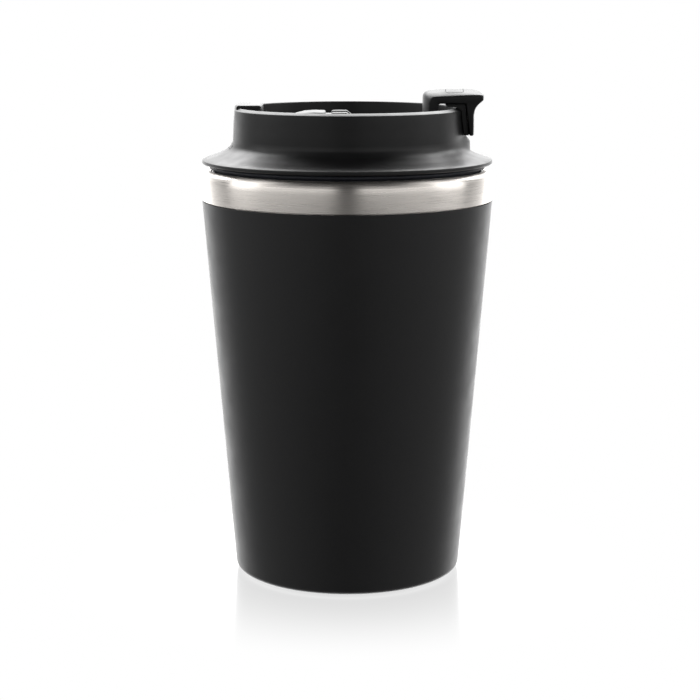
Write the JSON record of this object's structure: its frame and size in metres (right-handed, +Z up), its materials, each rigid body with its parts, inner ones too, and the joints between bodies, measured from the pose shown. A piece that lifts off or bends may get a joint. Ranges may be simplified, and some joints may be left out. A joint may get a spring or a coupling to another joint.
{
  "type": "insulated travel mug",
  "caption": "Tapered double-wall mug with a bare steel rim band and a push-in lid, whose flip lever hooks over the lid's ring wall and covers the drinking hole.",
  "frame": {"origin": "centre of the base, on the surface that the mug stands on", "axes": "+Z up along the mug's axis; +X from the lever's hinge towards its hook and the drinking hole"},
  "size_m": [0.0856, 0.0856, 0.1432],
  "materials": {
    "body_coating": "smooth matte black powder coating",
    "brushed_rim": "bare stainless steel, brushed round the rim",
    "steel_wall": "drawn stainless steel, satin",
    "steel_pin": "ground stainless wire",
    "lid_plastic": "black moulded polypropylene, fine matte texture",
    "lid_silicone": "black silicone, satin",
    "pad_silicone": "black silicone, matte",
    "port_glass": "solder glass bead",
    "getter_metal": "sintered grey metal"
  },
  "bodies": {
    "cup": {"outer_shell": "body_coating", "shell_bottom": "steel_wall", "vacuum_port_plug": "port_glass", "getter": "getter_metal", "base_cap": "lid_plastic", "base_pad": "pad_silicone", "rim_band": "brushed_rim", "inner_liner": "steel_wall"},
    "lid": {"lid_cover": "lid_plastic", "lid_plug": "lid_plastic", "lid_gasket": "lid_silicone", "rim_seal": "lid_silicone", "spout_seal": "lid_silicone", "vent_seal": "lid_silicone", "rest_block": "lid_plastic", "hinge_bracket": "lid_plastic", "hinge_pin": "steel_pin"},
    "lever": {"lever_arm": "lid_plastic", "hook_insert": "lid_plastic", "spout_plug": "lid_silicone", "vent_plug": "lid_silicone"}
  },
  "joints": [
    {"name": "lid_lift", "type": "slide", "parent": "cup", "child": "lid", "axis": [0, 0, 1], "range_m": [0, 0.045]},
    {"name": "lever_flip", "type": "hinge", "parent": "lid", "child": "lever", "pos_m": [-0.0023, 0, 0.1342], "axis": [0, -1, 0], "range_deg": [0, 150]}
  ]
}
